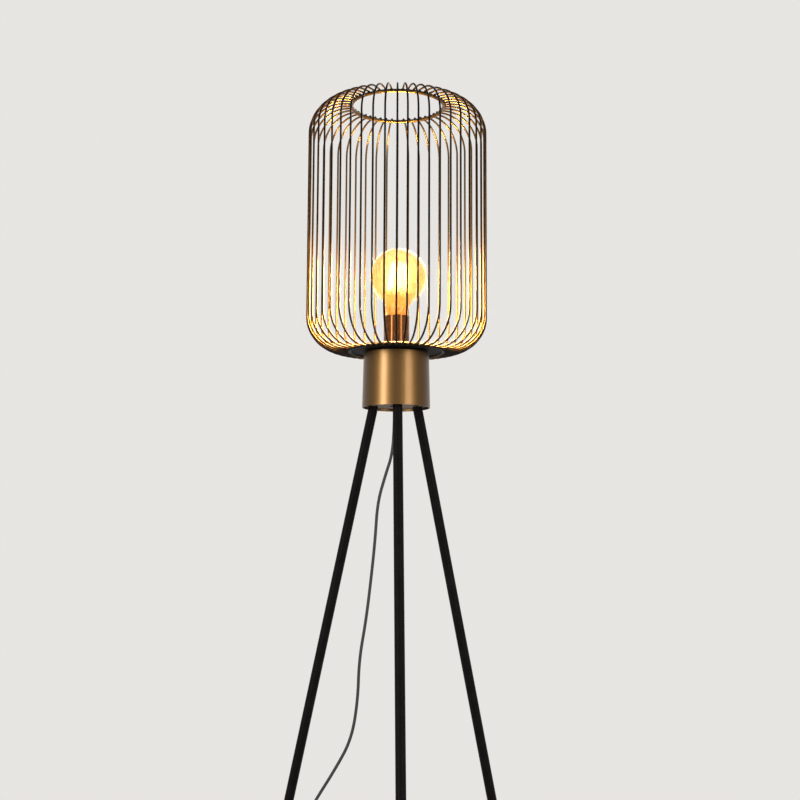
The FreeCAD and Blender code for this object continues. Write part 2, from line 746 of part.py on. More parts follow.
def cord_coil():
    """The spare cord, one unbroken tube with its ends straight for one diameter."""
    edges = []
    turn = 0.0
    while turn < COIL_TURNS - 1e-6:
        after = turn + 0.25
        edges += biarc(coil_point(turn), coil_direction(turn), coil_point(after), coil_direction(after))
        turn = after
    start = V(*CORD_TO_COIL[-1])
    end = V(*CORD_TO_PLUG[0])
    path = Part.Wire([line(start, coil_point(0)), *edges, line(coil_point(COIL_TURNS), end)])
    coil = round_wire(path, CORD_R, start, coil_direction(0))
    print(f"cord_coil: {path.Length:.0f} mm long, volume {coil.Volume:.0f},",
          f"section times length {math.pi * CORD_R ** 2 * path.Length:.0f},",
          f"least gap {least_gap(path, CORD_D):.2f}")
    return coil


SWITCH_X = (CORD_DROP[-1][0] + CORD_TO_COIL[0][0]) / 2
SWITCH_Y = CORD_DROP[-1][1]
SWITCH_CORD_Z = CORD_DROP[-1][2]
SWITCH_AT = (SWITCH_X, SWITCH_Y)
BUTTON_R = BUTTON_D / 2
BUTTON_LOW = SWITCH_TOP_Z - SWITCH_WALL - 3.0     # its flange stays under the cover
BUTTON_FLANGE_T = 2.5
BUTTON_SKIN = 2.5
CONTACT_BLOCK_TOP = 9.0
SPRING_R = 5.0
SPRING_WIRE_R = 0.45
SPRING_TURNS = 6


def rounded_box(length, width, corner_r, low, high, centre):
    """A box with rounded upright edges, on the floor plan's centre."""
    box = Part.makeBox(length, width, high - low, V(centre[0] - length / 2, centre[1] - width / 2, low))
    upright = [e for e in box.Edges if abs(e.BoundBox.ZLength - (high - low)) < 0.01]
    return box.makeFillet(corner_r, upright)


def top_edges(shape, z):
    return [e for e in shape.Edges if e.BoundBox.ZMin > z - 0.01]


def coil_spring(low, high, centre):
    """A compression spring, wound in quarter turns."""
    rise = (high - low) / SPRING_TURNS

    def point(turn):
        a = 2 * math.pi * turn
        return V(centre[0] + SPRING_R * math.cos(a), centre[1] + SPRING_R * math.sin(a), low + rise * turn)

    def way(turn):
        a = 2 * math.pi * turn
        around = 2 * math.pi * SPRING_R
        return V(-around * math.sin(a), around * math.cos(a), rise).normalize()

    edges = []
    for quarter in range(4 * SPRING_TURNS):
        turn = quarter / 4
        edges += biarc(point(turn), way(turn), point(turn + 0.25), way(turn + 0.25))
    return round_wire(Part.Wire(edges), SPRING_WIRE_R, point(0), way(0))


def relief(root, side):
    """A tapered sleeve round the cord where it enters a housing, along X."""
    way = V(side, 0, 0)
    cone = Part.makeCone(RELIEF_ROOT_R, RELIEF_TIP_R, RELIEF_LENGTH, root, way)
    return cone.cut(Part.makeCylinder(CORD_R, RELIEF_LENGTH, root, way))


def switch_parts():
    parts = {}
    roof_z = SWITCH_TOP_Z - SWITCH_WALL

    def block(inset, low, high):
        length, width = SWITCH_LENGTH - 2 * inset, SWITCH_WIDTH - 2 * inset
        return rounded_box(length, width, SWITCH_CORNER_R - inset, low, high, SWITCH_AT)

    base = block(0, 0, SWITCH_SPLIT_Z).cut(block(SWITCH_WALL, SWITCH_WALL, SWITCH_SPLIT_Z + 1))
    cover = block(0, SWITCH_SPLIT_Z, SWITCH_TOP_Z)
    cover = cover.makeFillet(SWITCH_EDGE_R, top_edges(cover, SWITCH_TOP_Z))
    cover = cover.cut(block(SWITCH_WALL, SWITCH_SPLIT_Z - 1, roof_z))
    cover = cover.cut(rod(BUTTON_R + BUTTON_GAP, roof_z - 1, SWITCH_TOP_Z + 1, SWITCH_AT))
    fixing = screw(4.8, 1.2, 2 * SWITCH_SCREW_R, SWITCH_SCREW_LENGTH, 0.8)
    screws = []
    for side in (-1, 1):
        at = (SWITCH_X + side * SWITCH_POST_X, SWITCH_Y)
        base = base.fuse(rod(SWITCH_POST_R, SWITCH_WALL, SWITCH_SPLIT_Z, at))
        base = base.cut(rod(SWITCH_SCREW_R, -1, SWITCH_SPLIT_Z + 1, at))
        base = base.cut(rod(2 * SWITCH_SCREW_R, -1, SWITCH_SCREW_Z, at))
        cover = cover.fuse(rod(SWITCH_POST_R, SWITCH_SPLIT_Z, roof_z, at))
        cover = cover.cut(rod(SWITCH_SCREW_R, SWITCH_SPLIT_Z - 1, SWITCH_SCREW_Z + SWITCH_SCREW_LENGTH, at))
        screws.append(placed(fixing, V(*at, SWITCH_SCREW_Z), V(0, 0, -1)))
    parts["switch_base"] = base.removeSplitter()
    parts["switch_cover"] = cover.removeSplitter()
    parts["switch_screws"] = Part.makeCompound(screws)

    button_top = SWITCH_TOP_Z + BUTTON_RISE
    crown_z = button_top - BUTTON_SKIN
    button = rod(BUTTON_R, BUTTON_LOW, button_top, SWITCH_AT)
    button = button.makeFillet(1.4, top_edges(button, button_top))
    button = button.fuse(rod(BUTTON_R + 1.6, BUTTON_LOW, BUTTON_LOW + BUTTON_FLANGE_T, SWITCH_AT))
    hollow = rod(BUTTON_R - 2, BUTTON_LOW - 1, crown_z, SWITCH_AT)
    parts["switch_button"] = button.removeSplitter().cut(hollow)
    parts["switch_contact_block"] = rounded_box(30, 20, 3.0, SWITCH_WALL, CONTACT_BLOCK_TOP, SWITCH_AT)
    spring_end = SPRING_WIRE_R + 0.05
    parts["switch_spring"] = coil_spring(CONTACT_BLOCK_TOP + spring_end, crown_z - spring_end, SWITCH_AT)
    parts["switch_reliefs"] = Part.makeCompound([
        relief(V(SWITCH_X + side * SWITCH_LENGTH / 2, SWITCH_Y, SWITCH_CORD_Z), side) for side in (-1, 1)
    ])
    return parts


def plug_parts():
    """A flat two-pin plug on its side, with its pins along +X."""
    parts = {}
    start, y, z = CORD_TO_PLUG[-1]
    flat = start + PLUG_LENGTH
    half = PLUG_WIDTH / 2
    shoulder = [(start, PLUG_NECK_WIDTH / 2), (flat - 16, half - 4), (flat - 5, half), (flat, half)]
    outline = [V(x, y - side, 0) for x, side in shoulder]
    outline += [V(x, y + side, 0) for x, side in reversed(shoulder)]
    body = Part.Face(Part.makePolygon(outline + [outline[0]])).extrude(V(0, 0, PLUG_T))
    rims = [e for e in body.Edges if e.BoundBox.ZLength < 0.01]
    body = body.makeFillet(2.0, rims)
    pins = []
    for side in (-1, 1):
        root = V(flat - PIN_ROOT, y + side * PIN_SPACING / 2, z)
        pin = Part.makeCylinder(PIN_D / 2, PIN_ROOT + PIN_LENGTH, root, V(1, 0, 0))
        body = body.cut(pin)
        tip = [e for e in pin.Edges if e.BoundBox.XMin > flat + PIN_LENGTH - 0.01]
        pins.append(pin.makeFillet(1.2, tip))
    parts["plug_body"] = body
    parts["plug_pins"] = Part.makeCompound(pins)
    parts["plug_relief"] = relief(V(start, y, z), -1)
    return parts


def cord_parts():
    return {
        "cord_drop": free_tube(CORD_DROP, CORD_R, "cord_drop"),
        "cord_to_coil": free_tube(CORD_TO_COIL, CORD_R, "cord_to_coil"),
        "cord_coil": cord_coil(),
        "cord_to_plug": free_tube(CORD_TO_PLUG, CORD_R, "cord_to_plug"),
    }


# ---- write every piece -------------------------------------------------------

def main():
    os.makedirs("parts", exist_ok=True)
    builders = (
        cage_parts, hub_parts, leg_parts, centre_parts, holder_parts, bulb_parts,
        wiring_parts, cord_parts, switch_parts, plug_parts,
    )
    pieces = {}
    for builder in builders:
        pieces.update(builder())
    for node, shape in pieces.items():
        if not shape.isValid() or not shape.Solids:
            print("check", node, "valid", shape.isValid(), "solids", len(shape.Solids))
        shape.exportStep(f"parts/{node}.step")
    print(len(pieces), "pieces written")


main()
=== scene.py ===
import json
import math
import random

import bmesh
import bpy
from mathutils import Matrix, Vector

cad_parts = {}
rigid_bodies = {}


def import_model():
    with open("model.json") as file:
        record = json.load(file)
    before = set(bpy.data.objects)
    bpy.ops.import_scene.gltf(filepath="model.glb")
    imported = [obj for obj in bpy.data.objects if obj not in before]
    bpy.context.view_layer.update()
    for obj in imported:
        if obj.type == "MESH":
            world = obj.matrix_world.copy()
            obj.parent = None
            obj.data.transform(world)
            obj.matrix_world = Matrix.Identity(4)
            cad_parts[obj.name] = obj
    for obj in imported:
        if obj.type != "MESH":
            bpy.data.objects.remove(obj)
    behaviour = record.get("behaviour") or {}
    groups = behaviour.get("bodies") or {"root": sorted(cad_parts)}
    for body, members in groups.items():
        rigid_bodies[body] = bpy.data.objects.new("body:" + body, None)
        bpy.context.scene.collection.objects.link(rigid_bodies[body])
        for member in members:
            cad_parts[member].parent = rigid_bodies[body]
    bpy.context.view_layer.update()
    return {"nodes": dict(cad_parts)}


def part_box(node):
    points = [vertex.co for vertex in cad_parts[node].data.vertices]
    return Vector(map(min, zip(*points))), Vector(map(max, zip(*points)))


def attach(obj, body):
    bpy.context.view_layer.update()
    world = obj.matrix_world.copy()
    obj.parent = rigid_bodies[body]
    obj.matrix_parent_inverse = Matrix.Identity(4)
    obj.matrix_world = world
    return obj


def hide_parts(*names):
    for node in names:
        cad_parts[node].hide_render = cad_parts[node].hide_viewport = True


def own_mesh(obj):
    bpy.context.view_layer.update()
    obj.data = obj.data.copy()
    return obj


# Looks for a wire cage floor lamp, in metres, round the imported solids: the materials, the weld
# beads, the smooth cord, the switch's spring, the camera and the light.
# +Z is up, the floor is z = 0, and the lamp's front faces -Y.

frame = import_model()
NODES = frame["nodes"]

# ---- sizes that the solids were built to -------------------------------------

CAGE_R = 0.1494             # centre line of the upright wires
RING_R = 0.0785             # centre line of the two rings
RING_WIRE_R = 0.003
RING_TOP_Z = 1.4945
WIRE_TOP_Z = 1.4986         # where the wires lie on the top ring
WIRE_BOTTOM_Z = 1.0721      # where they meet the bottom ring
BEND_TOP = 0.057            # radius of the wires' upper bend
BEND_BOTTOM = 0.058
WIRE_COUNT = 48
WIRE_NODES = 6
CROWD_SPAN = 58.0           # degrees round from the front in which the wires stand early
CROWD_MOST = 2.8            # degrees that the earliest of them is early
CORD_D = 0.005
GLOBE_X = 0.0027            # middle of the glass globe, which leans a little
GLOBE_Z = 1.1995
LEG_SIDES = ("front", "right", "left")

# ---- camera ------------------------------------------------------------------

CAMERA_AT = Vector((0.0064, -2.208, 0.724))
CAMERA_PITCH = math.radians(6.903)
CAMERA_ROLL = math.radians(0.288)
SENSOR_WIDTH = 36.0         # millimetres, as the lens
LENS = 60.37
CLIP_NEAR = 0.05
CLIP_FAR = 100.0


def make_camera():
    """A camera that looks along +Y, tipped up by its pitch and turned about its view by its roll."""
    data = bpy.data.cameras.new("camera")
    data.sensor_width = SENSOR_WIDTH
    data.lens = LENS
    data.clip_start = CLIP_NEAR
    data.clip_end = CLIP_FAR
    camera = bpy.data.objects.new("camera", data)
    bpy.context.scene.collection.objects.link(camera)
    level_up = Vector((0, -math.sin(CAMERA_PITCH), math.cos(CAMERA_PITCH)))
    level_right = Vector((1, 0, 0))
    ahead = Vector((0, math.cos(CAMERA_PITCH), math.sin(CAMERA_PITCH)))
    c, s = math.cos(CAMERA_ROLL), math.sin(CAMERA_ROLL)
    right = level_right * c + level_up * s
    up = level_up * c - level_right * s
    turn = Matrix((right, up, -ahead)).transposed()
    camera.matrix_world = Matrix.Translation(CAMERA_AT) @ turn.to_4x4()
    bpy.context.scene.camera = camera


make_camera()
bpy.context.scene.view_settings.view_transform = "Standard"

# ---- node helpers ------------------------------------------------------------


class Look:
    """A node material under construction."""

    def __init__(self, name):
        self.material = bpy.data.materials.new(name)
        self.material.use_nodes = True
        self.tree = self.material.node_tree
        self.tree.nodes.clear()
        self.out = self.tree.nodes.new("ShaderNodeOutputMaterial")
        self._place = None

    def node(self, kind, **values):
        made = self.tree.nodes.new(kind)
        for key, value in values.items():
            setattr(made, key, value)
        return made

    def link(self, source, target):
        self.tree.links.new(source, target)

    def put(self, target, value):
        """Sets a socket to a number, a colour or another socket."""
        if isinstance(value, bpy.types.NodeSocket):
            self.link(value, target)
        elif isinstance(value, tuple) and len(value) == 3 and target.type == "RGBA":
            target.default_value = (*value, 1.0)
        else:
            target.default_value = value

    @property
    def place(self):
        """The point on the piece at rest."""
        if self._place is None:
            self._place = self.node("ShaderNodeTexCoord").outputs["Object"]
        return self._place

    def stretched(self, scale):
        """The place on the piece, scaled along each axis."""
        mapping = self.node("ShaderNodeMapping")
        mapping.inputs["Scale"].default_value = scale
        self.link(self.place, mapping.inputs["Vector"])
        return mapping.outputs["Vector"]

    def noise(self, scale, detail=3.0, rough=0.5, vector=None):
        made = self.node("ShaderNodeTexNoise")
        self.link(vector or self.place, made.inputs["Vector"])
        made.inputs["Scale"].default_value = scale
        made.inputs["Detail"].default_value = detail
        made.inputs["Roughness"].default_value = rough
        return made.outputs["Fac"]

    def math(self, operation, a, b=None):
        made = self.node("ShaderNodeMath", operation=operation)
        self.put(made.inputs[0], a)
        if b is not None:
            self.put(made.inputs[1], b)
        return made.outputs[0]

    def vector(self, operation, a, b=None):
        made = self.node("ShaderNodeVectorMath", operation=operation)
        self.put(made.inputs[0], a)
        if b is not None:
            self.put(made.inputs[1], b)
        return made.outputs["Value" if operation in ("DOT_PRODUCT", "LENGTH") else "Vector"]

    def ramp(self, value, low, high, from_low=0.0, from_high=1.0, smooth=False):
        """A value remapped from one range to another, held at the ends."""
        made = self.node("ShaderNodeMapRange", clamp=True)
        if smooth:
            made.interpolation_type = "SMOOTHSTEP"
        self.put(made.inputs["Value"], value)
        made.inputs["From Min"].default_value = from_low
        made.inputs["From Max"].default_value = from_high
        made.inputs["To Min"].default_value = low
        made.inputs["To Max"].default_value = high
        return made.outputs["Result"]

    def mix(self, factor, a, b):
        made = self.node("ShaderNodeMix", data_type="RGBA")
        self.put(made.inputs["Factor"], factor)
        self.put(made.inputs["A"], a)
        self.put(made.inputs["B"], b)
        return made.outputs["Result"]

    def bump(self, height, distance):
        made = self.node("ShaderNodeBump")
        made.inputs["Strength"].default_value = 1.0
        made.inputs["Distance"].default_value = distance
        self.link(height, made.inputs["Height"])
        return made.outputs["Normal"]

    def shader(self, **values):
        """The principled shader, with names given in lower case and underscores."""
        made = self.node("ShaderNodeBsdfPrincipled")
        for key, value in values.items():
            self.put(made.inputs[key.replace("_", " ")], value)
        return made

    def finish(self, shader):
        self.link(shader.outputs[0], self.out.inputs["Surface"])
        return self.material


def shade(colour, by, lift=0.0):
    """A colour made darker or lighter."""
    return tuple(c * by + lift for c in colour)


def use(material, *names):
    """Gives a material to CAD nodes."""
    for name in names:
        slots = NODES[name].data.materials
        slots.clear()
        slots.append(material)


def mesh_piece(name, form, material):
    """An object in the scene from a bmesh, which is freed."""
    mesh = bpy.data.meshes.new(name)
    form.to_mesh(mesh)
    form.free()
    mesh.materials.append(material)
    piece = bpy.data.objects.new(name, mesh)
    bpy.context.scene.collection.objects.link(piece)
    return piece


# ---- materials ---------------------------------------------------------------

BLACK = (0.0035, 0.0029, 0.0025)
DISC_BLACK = (0.008, 0.0062, 0.005)
# The cage's inner gold, far darker than the gold paint itself: painted shade, so that wires away from the
# bulb look dark.
INNER_GOLD_PAINTED_SHADE = (0.11, 0.062, 0.018)
# Far darker than brass itself: painted shade and painted reflection of dark surroundings, which only the
# gleam strips lift.
HUB_BRASS_PAINTED_SHADE = (0.088, 0.043, 0.0092)
PLATE_BRASS = (0.07, 0.03, 0.01)
# Darker than the sleeve's gold itself: painted shade and painted reflection of dark surroundings.
HOLDER_GOLD_PAINTED_SHADE = (0.12, 0.045, 0.010)
ZINC = (0.62, 0.62, 0.60)
CONTACT_BRASS = (0.75, 0.55, 0.24)
CAP_METAL = (0.80, 0.78, 0.74)
SOLDER = (0.60, 0.60, 0.58)
SUPPORT_WIRE = (0.5, 0.48, 0.45)
INSULATOR = (0.02, 0.019, 0.018)
PLASTIC = (0.012, 0.012, 0.012)
RUBBER = (0.014, 0.0135, 0.013)
SHEATH = (0.010, 0.0095, 0.0095)
AMBER = (1.0, 0.60, 0.13)
DEEP_AMBER = (1.0, 0.54, 0.09)
CLEAR = (0.98, 0.97, 0.93)
CLEAR_DULL = (0.94, 0.93, 0.88)
GLOW_HOT = (1.0, 0.75, 0.95)
GLOW_COOL = (1.0, 0.52, 0.30)
FILAMENT_COAT = (0.9, 0.6, 0.3)
GLASS_IOR = 1.46
GLOW_STRENGTH = 260.0
HOT_HALF = 0.014            # of a filament's length, either side of the globe's middle
GLOW_HALF = 0.026
# The part of the outward side, as a cosine, over which the cage's gold gives way to black.
GOLD_ENDS = -0.22
BLACK_BEGINS = 0.02


def powder_coat(name, colour=BLACK, rough=0.42, grain=900.0, shine=0.05):
    """Satin powder coat: fine orange peel, faint patches of more and less shine."""
    look = Look(name)
    peel = look.noise(grain, 2.0)
    patches = look.noise(9.0, 4.0)
    dust = look.noise(60.0, 5.0, 0.65)
    tone = look.mix(look.ramp(dust, 0.0, 1.0, 0.35, 0.75), colour, shade(colour, 2.2))
    return look.finish(look.shader(
        Base_Color=tone,
        Roughness=look.ramp(patches, rough - 0.07, rough + 0.08, 0.3, 0.7),
        Specular_IOR_Level=shine,
        Normal=look.bump(peel, 0.00006),
    ))


def cage_paint():
    """Black outside and gold inside, parted along each wire by the side that faces out of the cage."""
    look = Look("cage_paint")
    parts = look.node("ShaderNodeSeparateXYZ")
    look.link(look.place, parts.inputs[0])
    x, y, z = parts.outputs
    flat = look.node("ShaderNodeCombineXYZ")
    look.link(x, flat.inputs[0])
    look.link(y, flat.inputs[1])
    radius = look.vector("LENGTH", flat.outputs[0])
    radial = look.vector("NORMALIZE", flat.outputs[0])
    beyond = look.math("MAXIMUM", look.math("SUBTRACT", radius, CAGE_R - BEND_TOP), 0.0)
    above = look.math("MAXIMUM", look.math("SUBTRACT", z, WIRE_TOP_Z - BEND_TOP), 0.0)
    below = look.math("MINIMUM", look.math("SUBTRACT", z, WIRE_BOTTOM_Z + BEND_BOTTOM), 0.0)
    height = look.math("ADD", above, below)
    outward = look.node("ShaderNodeVectorMath", operation="SCALE")
    look.link(radial, outward.inputs[0])
    look.link(beyond, outward.inputs["Scale"])
    upward = look.node("ShaderNodeCombineXYZ")
    look.link(height, upward.inputs[2])
    facing = look.vector("NORMALIZE", look.vector("ADD", outward.outputs[0], upward.outputs[0]))
    normal = look.node("ShaderNodeNewGeometry").outputs["Normal"]
    outer = look.vector("DOT_PRODUCT", normal, facing)
    edge = look.math("ADD", outer, look.ramp(look.noise(350.0, 3.0), -0.07, 0.07))
    black_share = look.ramp(edge, 0.0, 1.0, GOLD_ENDS, BLACK_BEGINS, smooth=True)
    spray = look.noise(40.0, 5.0, 0.7)
    # The gold side takes the darkened gold, whose painted shade stands in for the unlit upper cage.
    gold = look.mix(look.ramp(spray, 0.0, 1.0, 0.3, 0.7), INNER_GOLD_PAINTED_SHADE, shade(INNER_GOLD_PAINTED_SHADE, 0.78))
    black = look.mix(look.noise(80.0, 4.0), BLACK, shade(BLACK, 2.0))
    grain = look.noise(1500.0, 2.0)
    return look.finish(look.shader(
        Base_Color=look.mix(black_share, gold, black),
        Metallic=look.ramp(black_share, 1.0, 0.0),
        Roughness=look.math("ADD", look.ramp(black_share, 0.25, 0.45), look.ramp(spray, -0.03, 0.03)),
        Specular_IOR_Level=0.05,
        Normal=look.bump(grain, 0.00003),
    ))


def satin_brass(name, colour, rough=0.36, coat=0.4, coat_rough=0.3, rubbed=1.0):
    """Satin brass under lacquer: very fine turned lines, soft cloudy tone and a few rubs."""
    look = Look(name)
    lines = look.noise(26.0, 3.0, 0.6, look.stretched((1.0, 1.0, 160.0)))
    cloud = look.noise(22.0, 4.0, 0.6)
    rubs = look.noise(140.0, 6.0, 0.75, look.stretched((1.0, 1.0, 0.35)))
    tone = look.mix(look.ramp(cloud, 0.0, 1.0, 0.3, 0.7), colour, shade(colour, 0.86))
    worn = look.ramp(rubs, 0.0, 0.35 * rubbed, 0.62, 0.74)
    tone = look.mix(worn, tone, shade(colour, 1.25))
    along_lines = look.ramp(lines, rough - 0.04, rough + 0.05, 0.3, 0.7)
    return look.finish(look.shader(
        Base_Color=tone,
        Metallic=1.0,
        Roughness=look.math("ADD", along_lines, look.ramp(cloud, -0.02, 0.03)),
        Normal=look.bump(lines, 0.000012),
        Coat_Weight=coat,
        Coat_Roughness=coat_rough,
    ))


def metal(name, colour, rough=0.3, grain=600.0):
    """Plain plated metal with fine tool marks."""
    look = Look(name)
    marks = look.noise(grain, 4.0, 0.6)
    cloud = look.noise(30.0, 3.0)
    tone = look.mix(cloud, colour, shade(colour, 0.8))
    return look.finish(look.shader(
        Base_Color=tone,
        Metallic=1.0,
        Roughness=look.ramp(marks, rough - 0.08, rough + 0.1, 0.3, 0.7),
        Normal=look.bump(marks, 0.00002),
    ))


def moulded(name, colour, rough=0.4, grain=1400.0, depth=0.00004, coat=0.0):
    """Moulded plastic or rubber with a fine spark texture."""
    look = Look(name)
    spark = look.noise(grain, 3.0, 0.6)
    cloud = look.noise(45.0, 4.0)
    tone = look.mix(cloud, colour, shade(colour, 1.5, 0.002))
    return look.finish(look.shader(
        Base_Color=tone,
        Roughness=look.ramp(spark, rough - 0.06, rough + 0.08, 0.3, 0.7),
        Normal=look.bump(spark, depth),
        Coat_Weight=coat,
        Coat_Roughness=0.2,
    ))


def amber_glass():
    """Hazy amber glass: the haze spreads the filaments' light through the globe."""
    look = Look("amber_glass")
    haze = look.noise(28.0, 4.0, 0.6)
    return look.finish(look.shader(
        Base_Color=look.mix(look.noise(12.0, 3.0), AMBER, DEEP_AMBER),
        Roughness=look.ramp(haze, 0.25, 0.275, 0.3, 0.7),
        IOR=GLASS_IOR,
        Transmission_Weight=1.0,
        Normal=look.bump(look.noise(60.0, 2.0), 0.00006),
    ))


def clear_glass():
    """The bulb's inner stem."""
    look = Look("clear_glass")
    return look.finish(look.shader(
        Base_Color=look.mix(look.noise(90.0, 3.0), CLEAR, CLEAR_DULL),
        Roughness=0.03,
        IOR=GLASS_IOR,
        Transmission_Weight=1.0,
    ))


def filament_glow():
    """A lit filament: hot in its middle, a little cooler at the ends and in patches."""
    look = Look("filament_glow")
    parts = look.node("ShaderNodeSeparateXYZ")
    look.link(look.place, parts.inputs[0])
    off_middle = look.math("ABSOLUTE", look.math("SUBTRACT", parts.outputs[2], GLOBE_Z))
    heat = look.ramp(off_middle, 1.0, 0.55, HOT_HALF, GLOW_HALF, smooth=True)
    heat = look.math("MULTIPLY", heat, look.ramp(look.noise(420.0, 2.0), 0.85, 1.1))
    return look.finish(look.shader(
        Base_Color=FILAMENT_COAT,
        Roughness=0.5,
        Emission_Color=look.mix(heat, GLOW_COOL, GLOW_HOT),
        Emission_Strength=look.math("MULTIPLY", heat, GLOW_STRENGTH),
    ))


def dress_cad(cage, sheath, steel):
    """Gives every CAD node that shows, or could, its material."""
    use(cage, *[f"cage_wires_{i + 1}" for i in range(WIRE_NODES)], "top_ring", "bottom_ring")
    use(powder_coat("disc_coat", DISC_BLACK, 0.6, shine=0.03), "base_disc")
    use(powder_coat("black_coat"), *[f"leg_tube_{side}" for side in LEG_SIDES], "spacer_disc")
    # The hub's colour holds painted shade, far darker than its brass.
    use(satin_brass("hub_brass", HUB_BRASS_PAINTED_SHADE, coat=0.3), "hub_cup")
    use(satin_brass("plate_brass", PLATE_BRASS, 0.5, coat=0.0), "hub_bottom_plate", "hub_bracket_ring")
    # The sleeve's colour holds painted shade, darker than its gold.
    holder_painted_shade = satin_brass("holder_gold", HOLDER_GOLD_PAINTED_SHADE, 0.12, coat=0.25, coat_rough=0.04, rubbed=0.0)
    use(holder_painted_shade, "holder_sleeve")
    use(steel, "plate_screws", "leg_bolts", "leg_inserts", "nipple", "lock_washer",
        "nipple_nut_lower", "nipple_nut_upper", "terminal_screws", "switch_screws", "switch_spring",
        *[f"leg_socket_{side}" for side in LEG_SIDES])
    use(metal("contact_brass", CONTACT_BRASS, 0.25), "holder_shell", "holder_centre_contact", "plug_pins")
    use(metal("cap_metal", CAP_METAL, 0.22), "bulb_cap")
    use(metal("solder", SOLDER, 0.45), "bulb_eyelet")
    use(moulded("insulator", INSULATOR, 0.35), "holder_insulator", "bulb_cap_insulator",
        "terminal_block", "switch_contact_block")
    use(amber_glass(), "bulb_glass")
    use(clear_glass(), "bulb_stem")
    use(metal("support_wire", SUPPORT_WIRE, 0.35), "filament_supports")
    use(filament_glow(), "filaments")
    use(moulded("black_plastic", PLASTIC, 0.38, coat=0.1),
        "cord_bushing", "switch_base", "switch_cover", "switch_button", "plug_body")
    use(moulded("black_rubber", RUBBER, 0.62, grain=900.0, depth=0.00007),
        *[f"foot_cap_{side}" for side in LEG_SIDES], "switch_reliefs", "plug_relief")
    use(sheath, "cord_inside_hub", "inner_leads")


cage_coat = cage_paint()
cord_sheath = moulded("cord_sheath", SHEATH, 0.42, grain=1800.0, depth=0.00002)
zinc_steel = metal("zinc_steel", ZINC)
dress_cad(cage_coat, cord_sheath, zinc_steel)

# ---- weld beads --------------------------------------------------------------


def wire_azimuths():
    """Where the wires stand: evenly, but a little early in the front right."""
    spots = []
    for i in range(WIRE_COUNT):
        azimuth = 360.0 * i / WIRE_COUNT
        early = CROWD_MOST * math.sin(math.pi * azimuth / CROWD_SPAN) if azimuth < CROWD_SPAN else 0.0
        spots.append(math.radians(azimuth - early))
    return spots


# A bead's half sizes along the ring, across it and up.
TOP_BEAD = (0.0027, 0.0021, 0.0011)
BOTTOM_BEAD = (0.0024, 0.0012, 0.0019)
TOP_BEAD_SINK = 0.0002      # of its middle, below the top of the ring
BOTTOM_BEAD_OUT = 0.0028    # of its middle, beyond the ring's centre line
BOTTOM_BEAD_RISE = 0.0003   # above the wires' lower ends
BEAD_SPREAD = 0.15          # how far the beads' sizes differ
BEAD_SHIFT = 0.0003         # how far they stand off their wires
BEAD_LUMPS = 0.06


def weld_beads(name, radius, height, size, seed):
    """One small uneven bead of weld at each wire, painted over with the cage."""
    draw = random.Random(seed)
    form = bmesh.new()
    for azimuth in wire_azimuths():
        turn = Matrix.Rotation(azimuth, 4, "Z")
        grown = [s * draw.uniform(1 - BEAD_SPREAD, 1 + BEAD_SPREAD) for s in size]
        stretch = Matrix.Diagonal((*grown, 1.0))
        shift = Matrix.Translation((draw.uniform(-BEAD_SHIFT, BEAD_SHIFT), -radius, height))
        made = bmesh.ops.create_icosphere(form, subdivisions=3, radius=1.0, matrix=turn @ shift @ stretch)
        centre = turn @ Vector((0, -radius, height))
        for vert in made["verts"]:
            vert.co = centre + (vert.co - centre) * draw.uniform(1 - BEAD_LUMPS, 1 + BEAD_LUMPS)
    for face in form.faces:
        face.smooth = True
    beads = mesh_piece(name, form, cage_coat)
    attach(beads, "lamp")


weld_beads("cage_welds_top", RING_R, RING_TOP_Z + RING_WIRE_R - TOP_BEAD_SINK, TOP_BEAD, seed=3)
weld_beads(
    "cage_welds_bottom", RING_R + BOTTOM_BEAD_OUT, WIRE_BOTTOM_Z + BOTTOM_BEAD_RISE, BOTTOM_BEAD, seed=5,
)

# ---- return spring of the foot switch ----------------------------------------

SPRING_WIRE_R = 0.00045
SPRING_TURNS = 6
SPRING_STEPS_PER_TURN = 24
SPRING_SIDES = 10


def circle_points(steps, count):
    """Points of the unit circle, one for each step, where count steps make a turn."""
    angles = [2 * math.pi * step / count for step in steps]
    return [Vector((math.cos(a), math.sin(a), 0)) for a in angles]


def make_return_spring():
    """The spring under the button, a tube along a helix, as long as the solid that it stands in for."""
    low, high = (Vector(corner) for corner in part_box("switch_spring"))
    foot = Vector(((low.x + high.x) / 2, (low.y + high.y) / 2, low.z))
    length = high.z - low.z
    radius = (high.x - low.x) / 2 - SPRING_WIRE_R
    steps = SPRING_TURNS * SPRING_STEPS_PER_TURN
    form = bmesh.new()
    rings = []
    for step, outward in enumerate(circle_points(range(steps + 1), SPRING_STEPS_PER_TURN)):
        up = SPRING_WIRE_R + (length - 2 * SPRING_WIRE_R) * step / steps
        middle = foot + Vector((0, 0, up)) + radius * outward
        rings.append([
            form.verts.new(middle + SPRING_WIRE_R * (side.x * outward + Vector((0, 0, side.y))))
            for side in circle_points(range(SPRING_SIDES), SPRING_SIDES)
        ])
    for ring, beyond in zip(rings, rings[1:]):
        for side in range(SPRING_SIDES):
            after = (side + 1) % SPRING_SIDES
            form.faces.new((ring[side], beyond[side], beyond[after], ring[after])).smooth = True
    form.faces.new(rings[0])
    form.faces.new(reversed(rings[-1]))
    bmesh.ops.recalc_face_normals(form, faces=form.faces)
    spring = mesh_piece("return_spring", form, zinc_steel)
    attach(spring, "lamp")
    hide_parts("switch_spring")
    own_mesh(spring)
    return spring


return_spring = make_return_spring()

# ---- cord --------------------------------------------------------------------

